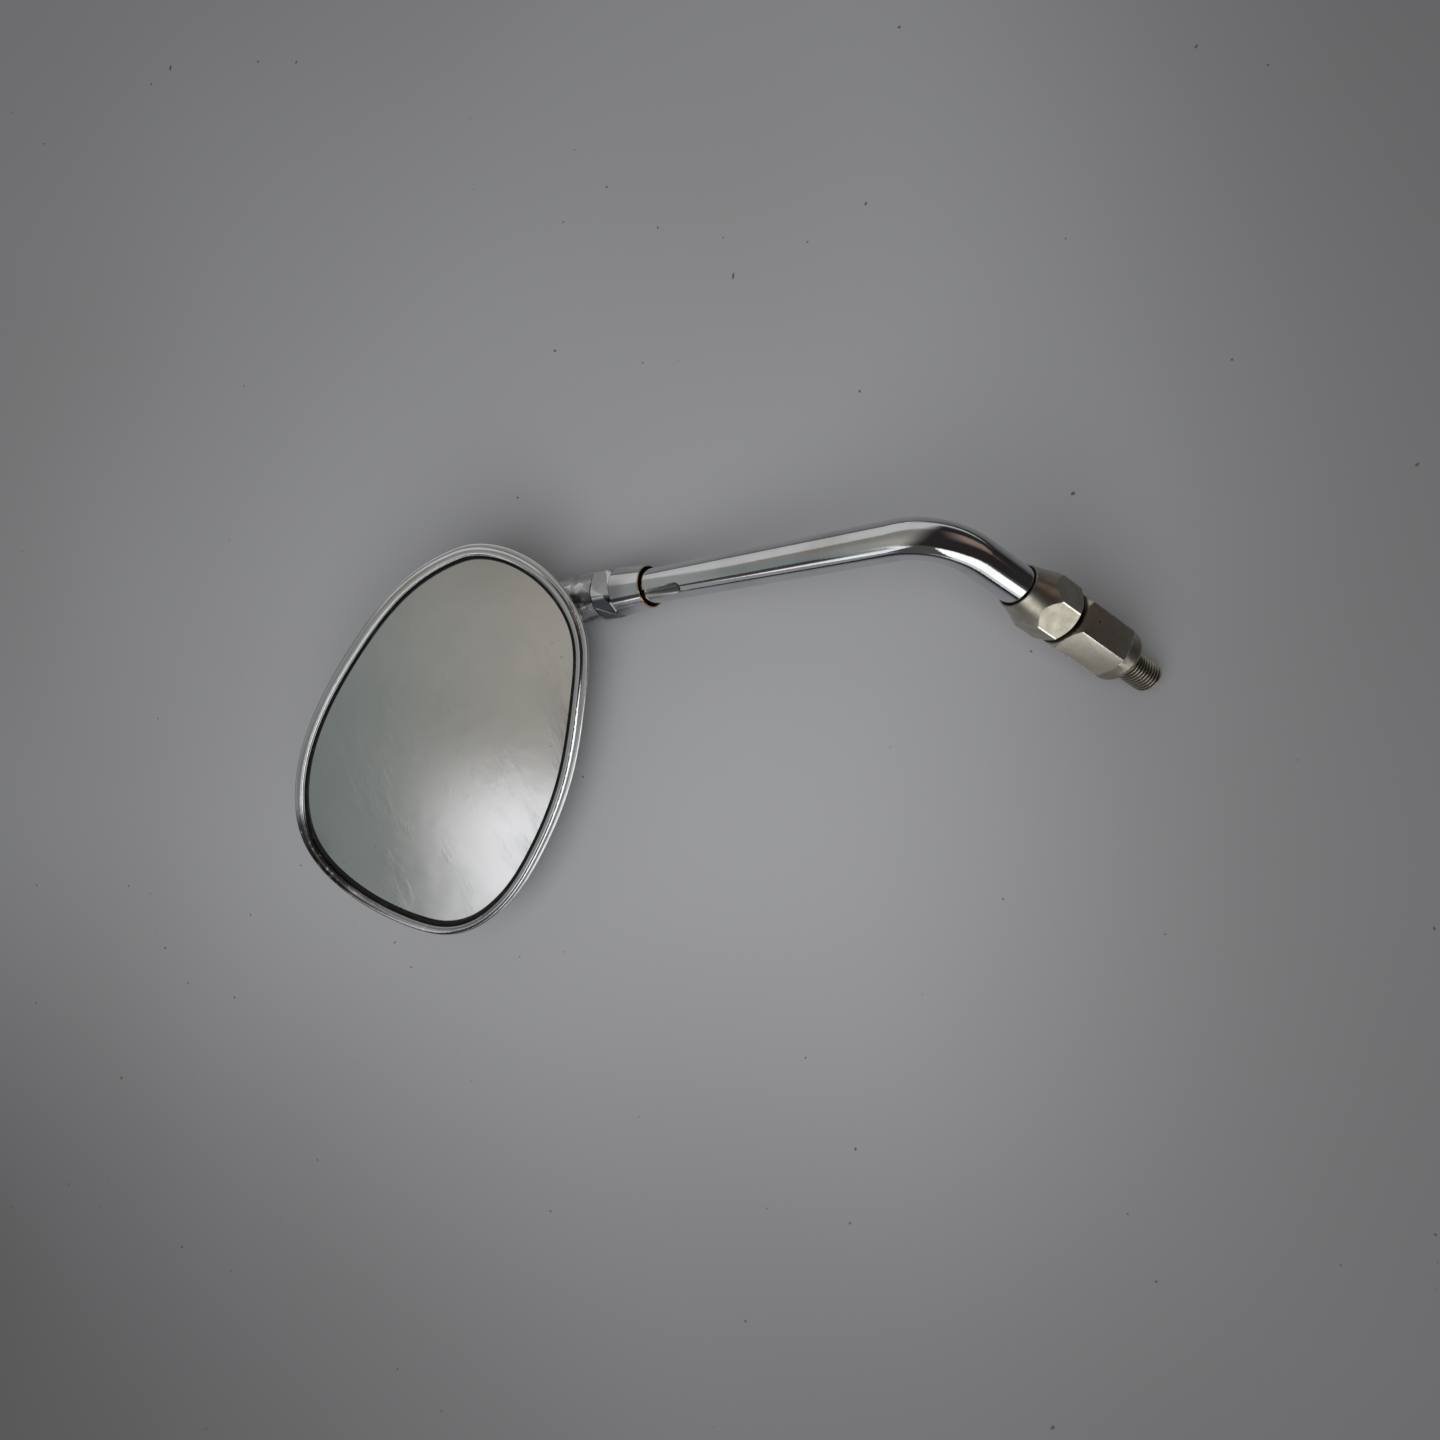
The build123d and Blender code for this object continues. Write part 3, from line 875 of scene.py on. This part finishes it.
    def chamfer_end(self, piece: bpy.types.Object) -> None:
        """Trims the thread's end to a cone.

        Args:
            piece: The closed coil.
        """
        pick_none()
        reach = self.length + self.pitch
        wide = self.radius * self.cutter_margin
        bpy.ops.mesh.primitive_cylinder_add(
            vertices=self.cutter_sides, radius=wide, depth=reach, location=(0, 0, -self.length + reach / 2)
        )
        cone = bpy.context.active_object
        bpy.ops.object.transform_apply(location=True, rotation=True, scale=True)
        lean = wide - (self.radius - self.chamfer)
        end = -self.length + self.cut
        bpy.ops.object.mode_set(mode="EDIT")
        bpy.ops.mesh.select_all(action="DESELECT")
        bpy.ops.object.mode_set(mode="OBJECT")
        for edge in cone.data.edges:
            edge.select = all(cone.data.vertices[v].co.z < end for v in edge.vertices)
        for face in cone.data.polygons:
            face.select = face.center.z < end
        bpy.ops.object.mode_set(mode="EDIT")
        bpy.ops.mesh.bevel(offset_type="OFFSET", offset=lean, segments=1, affect="EDGES")
        bpy.ops.object.mode_set(mode="OBJECT")
        work_on(piece)
        trim = piece.modifiers.new("trim", "BOOLEAN")
        trim.operation = "INTERSECT"
        trim.solver = "EXACT"
        trim.object = cone
        bpy.ops.object.modifier_apply(modifier=trim.name)
        bpy.data.objects.remove(cone, do_unlink=True)


@dataclass
class Table:
    """Pale table that the mirror lies on, clear from its underside."""

    normal: Point = (-0.095, -0.815, 0.571)
    offset: float = -0.0109
    middle: Point = (-0.08, 0.03, 0.05)
    size: float = 4.0
    colour: Colour = (0.355, 0.358, 0.372)
    shade: Colour = (0.335, 0.336, 0.345)
    painted_falloff_shade: Colour = (0.05, 0.05, 0.052)
    seen_limit: float = 0.6
    fleck: Colour = (0.12, 0.11, 0.10)

    def build(self) -> None:
        """Makes the table."""
        pick_none()
        up = Vector(self.normal).normalized()
        bpy.ops.mesh.primitive_plane_add(size=self.size)
        top = bpy.context.active_object
        top.name = "table"
        turn = up.to_track_quat("Z", "Y").to_matrix().to_4x4()
        middle = Vector(self.middle)
        foot = up * self.offset + middle - up * up.dot(middle)
        top.data.transform(Matrix.Translation(foot) @ turn)
        top.data.materials.append(self.material())
        LOG.info("made the table")

    def material(self) -> bpy.types.Material:
        """Soft grey top that is clear from behind.

        Returns:
            The material.
        """
        made = bpy.data.materials.new("table_grey")
        made.use_nodes = True
        graph = ShaderGraph(made.node_tree)
        place = graph.place()
        cloud = graph.noise(place, 5.0, 1.0).rises(0.3, 0.7)
        fleck = graph.noise(place, 420.0, 0.0).rises(0.893, 0.90)
        colour = graph.mix(cloud, self.colour, self.shade)
        # Painted shade: dark to the right and below the picture in reflections, and less so where it is seen
        # directly.
        far = graph.along(VIEW_PLACE, VIEW_RIGHT, place).rises(0.035, 0.31)
        low = graph.along(VIEW_PLACE, VIEW_UP, place).rises(-0.03, -0.38)
        direct = Socket(graph, graph.node("ShaderNodeLightPath").outputs["Is Camera Ray"])
        away = 1.0 - (1.0 - far) * (1.0 - low)
        away = away * (1.0 - direct * away * self.seen_limit)
        colour = graph.mix(away, colour, self.painted_falloff_shade)
        shader = graph.node("ShaderNodeBsdfPrincipled", None, {
            "Base Color": graph.mix(fleck, colour, self.fleck),
            "Roughness": 0.8,
            "Specular IOR Level": 0.0,
        })
        clear = graph.node("ShaderNodeBsdfTransparent")
        side = graph.node("ShaderNodeNewGeometry")
        both = graph.node("ShaderNodeMixShader", None, {
            0: side.outputs["Backfacing"], 1: shader.outputs["BSDF"], 2: clear.outputs["BSDF"],
        })
        graph.node("ShaderNodeOutputMaterial", None, {"Surface": both.outputs["Shader"]})
        return made


@dataclass(frozen=True)
class Patch:
    """A bright or dark part of the far surroundings, given in the picture's own directions."""

    name: str
    around: Tuple[float, float]
    lean: Tuple[float, float]
    soft: float
    colour: Colour

    @staticmethod
    def across(angle: float) -> Vector:
        """Direction in the picture's plane, with 0 degrees to the right and 90 degrees up."""
        return VIEW_RIGHT * math.cos(math.radians(angle)) + VIEW_UP * math.sin(math.radians(angle))

    def mask(self, graph: ShaderGraph, ray: bpy.types.NodeSocket) -> Socket:
        """Mask of the patch over all directions.

        Args:
            graph: The world's nodes.
            ray: Direction of the ray.

        Returns:
            1 inside the patch, eased to 0 over its soft edge.
        """
        edge = math.sin(math.radians(self.soft))
        first = graph.along(ORIGIN, self.across(self.around[0] + 90), ray).rises(0.0, edge)
        last = graph.along(ORIGIN, self.across(self.around[1] - 90), ray).rises(0.0, edge)
        height = graph.along(ORIGIN, VIEW_BACK, ray)
        near, far = (math.cos(math.radians(lean)) for lean in self.lean)
        return first * last * height.rises(far, far + edge) * height.rises(near, near - edge)


@dataclass
class Backdrop:
    """Painted screen near the camera, which only the plating, the steel and the glass reflect."""

    back: float = -0.15
    size: float = 3.0
    cool: Colour = (0.245, 0.28, 0.28)
    warm: Colour = (0.48, 0.455, 0.415)
    upper: Colour = (0.29, 0.275, 0.245)
    far_left: Colour = (0.35, 0.35, 0.345)
    pale: Colour = (0.66, 0.655, 0.64)
    dark: Colour = (0.027, 0.024, 0.024)
    brown: Colour = (0.32, 0.23, 0.19)
    glow: Colour = (1.22, 1.22, 1.27)
    post: Colour = (0.09, 0.09, 0.09)
    nook: Colour = (0.07, 0.065, 0.06)
    window: Colour = (1.65, 1.68, 1.62)
    sill: Colour = (0.88, 0.90, 0.94)

    def build(self) -> None:
        """Adds the screen."""
        pick_none()
        bpy.ops.mesh.primitive_plane_add(size=self.size)
        screen = bpy.context.active_object
        screen.name = "painted_screen"
        axes = Matrix((VIEW_RIGHT, VIEW_UP, VIEW_BACK)).transposed().to_4x4()
        screen.data.transform(Matrix.Translation(VIEW_PLACE + VIEW_BACK * self.back) @ axes)
        screen.data.materials.append(self.material())
        screen.visible_camera = False
        screen.visible_diffuse = False
        screen.visible_shadow = False
        screen.visible_transmission = False
        LOG.info("hung the screen")

    def material(self) -> bpy.types.Material:
        """Glow of the painted screen.

        Returns:
            The material.
        """
        made = bpy.data.materials.new("painted_screen")
        made.use_nodes = True
        made.cycles.emission_sampling = "NONE"
        graph = ShaderGraph(made.node_tree)
        place = graph.place()
        across = graph.along(VIEW_PLACE, VIEW_RIGHT, place)
        height = graph.along(VIEW_PLACE, VIEW_UP, place)
        colour = self.paint(graph, across, height)
        glow = graph.node("ShaderNodeEmission", None, {"Color": colour, "Strength": 1.0})
        graph.node("ShaderNodeOutputMaterial", None, {"Surface": glow.outputs["Emission"]})
        return made

    def paint(self, graph: ShaderGraph, across: Socket, height: Socket) -> bpy.types.NodeSocket:
        """Colour of the screen from its left-hand wall to its window.

        Args:
            graph: The screen's nodes.
            across: Metres to the right of the camera.
            height: Metres above the camera.

        Returns:
            The colour.
        """
        drop = 0.0 - height
        colour = graph.mix(across.rises(-0.20, -0.03), self.cool, self.warm)
        colour = graph.mix(height.rises(0.0, 0.09), colour, self.upper)
        colour = graph.mix(across.rises(-0.22, -0.40), colour, self.far_left)
        pale = height.rises(0.11, 0.15) * (height + across * 0.65).rises(-0.13, -0.05)
        colour = graph.mix(pale, colour, self.pale)
        colour = graph.mix(height.rises(0.45, 0.8) * across.rises(-0.3, 0.1), colour, self.far_left)
        shade = (across - height * 0.4).rises(-0.03, 0.025) * height.rises(0.42, 0.22)
        colour = graph.mix(shade, colour, self.dark)
        shelf = across.rises(0.06, 0.13) * across.rises(0.30, 0.20)
        shelf = shelf * height.rises(0.04, 0.075) * height.rises(0.135, 0.10)
        colour = graph.mix(shelf, colour, self.brown)
        nook = across.rises(-0.175, -0.205) * (drop + across * 0.5).rises(0.0, 0.04)
        nook = nook * drop.rises(0.8, 0.5)
        colour = graph.mix(nook, colour, self.nook)
        spill = across.rises(-0.15, -0.065) * drop.rises(0.045, 0.12)
        low = (across + drop).rises(0.0, 0.13) * drop.rises(0.16, 0.22)
        colour = graph.mix(graph.math("MAXIMUM", spill, low), colour, self.glow)
        post = (across + drop * 0.5).rises(0.012, 0.03) * drop.rises(0.03, 0.055)
        colour = graph.mix(post, colour, self.post)
        pane = across.rises(0.031, 0.042) * drop.rises(0.044, 0.064)
        pane = pane * (drop - across * 0.45).rises(-0.022, 0.004)
        light = graph.mix(drop.rises(0.28, 0.75), self.window, self.sill)
        return graph.mix(pane * across.rises(0.75, 0.5), colour, light)


@dataclass
class Room:
    """Far surroundings, plain where they are seen directly, and one broad lamp."""

    plain: Colour = (0.26, 0.26, 0.26)
    seen: Colour = (0.40, 0.40, 0.405)
    patches: Tuple[Patch, ...] = (
        Patch("over", (45, 110), (25, 125), 20, (0.36, 0.36, 0.36)),
        Patch("crown", (76, 114), (82, 125), 6, (0.85, 0.85, 0.85)),
        Patch("pale_wall", (100, 150), (36, 125), 5, (0.62, 0.615, 0.60)),
        Patch("left_wall", (168, 196), (60, 125), 6, (0.38, 0.38, 0.375)),
        Patch("low_wall", (221, 250), (70, 110), 4, (0.33, 0.335, 0.35)),
        Patch("dark_door", (248, 264), (40, 110), 4, (0.09, 0.09, 0.09)),
        Patch("window", (264, 300), (45, 105), 5, (0.85, 0.86, 0.88)),
        Patch("right_side", (-55, 55), (28, 125), 8, (0.12, 0.115, 0.11)),
    )
    lamp_place: Point = (-0.09, -0.12, 0.05)
    lamp_aim: Point = (-0.08, 0.05, 0.10)
    lamp_size: Tuple[float, float] = (0.42, 0.34)
    lamp_power: float = 1.22

    def build(self) -> None:
        """Makes the world and the lamp."""
        world = bpy.data.worlds.new("room")
        bpy.context.scene.world = world
        world.use_nodes = True
        graph = ShaderGraph(world.node_tree)
        ray = graph.node("ShaderNodeTexCoord").outputs["Generated"]
        colour: Any = self.plain
        for patch in self.patches:
            colour = graph.mix(patch.mask(graph, ray), colour, patch.colour)
        direct = Socket(graph, graph.node("ShaderNodeLightPath").outputs["Is Camera Ray"])
        colour = graph.mix(direct, colour, self.seen)
        back = graph.node("ShaderNodeBackground", None, {"Color": colour, "Strength": 1.0})
        graph.node("ShaderNodeOutputWorld", None, {"Surface": back.outputs["Background"]})
        self.lamp()
        LOG.info("lit the room")

    def lamp(self) -> None:
        """Adds the broad lamp beside the camera."""
        pick_none()
        right, up, back = self.lamp_place
        spot = VIEW_PLACE + VIEW_RIGHT * right + VIEW_UP * up + VIEW_BACK * back
        bpy.ops.object.light_add(type="AREA", location=spot)
        lamp = bpy.context.active_object
        lamp.name = "broad_lamp"
        lamp.data.shape = "RECTANGLE"
        lamp.data.size, lamp.data.size_y = self.lamp_size
        lamp.data.energy = self.lamp_power
        lamp.rotation_mode = "QUATERNION"
        lamp.rotation_quaternion = (Vector(self.lamp_aim) - spot).to_track_quat("-Z", "Y")
        lamp.visible_glossy = False
        lamp.visible_camera = False


@dataclass
class PhotoCamera:
    """Camera at the photograph's place, rolled as the photograph is."""

    lens: float = 21.18
    sensor: float = 36.0
    nearest: float = 0.005
    farthest: float = 20.0

    def build(self) -> None:
        """Adds the camera and makes it the scene's own."""
        pick_none()
        bpy.ops.object.camera_add(location=VIEW_PLACE)
        camera = bpy.context.active_object
        camera.name = "photo_camera"
        camera.data.lens = self.lens
        camera.data.sensor_width = self.sensor
        camera.data.clip_start, camera.data.clip_end = self.nearest, self.farthest
        axes = Matrix((VIEW_RIGHT, VIEW_UP, VIEW_BACK)).transposed()
        camera.rotation_mode = "QUATERNION"
        camera.rotation_quaternion = axes.to_quaternion()
        bpy.context.scene.camera = camera
        view = bpy.context.scene.view_settings
        view.view_transform = "Standard"
        view.look = "None"
        LOG.info("placed the camera")


def main() -> None:
    """Builds the classes in order."""
    logging.basicConfig(level=logging.INFO, format="%(name)s: %(message)s")
    for part in (MirrorHead(), Stem(), Adapter(), Table(), Backdrop(), Room(), PhotoCamera()):
        part.build()


if __name__ == "__main__":
    main()
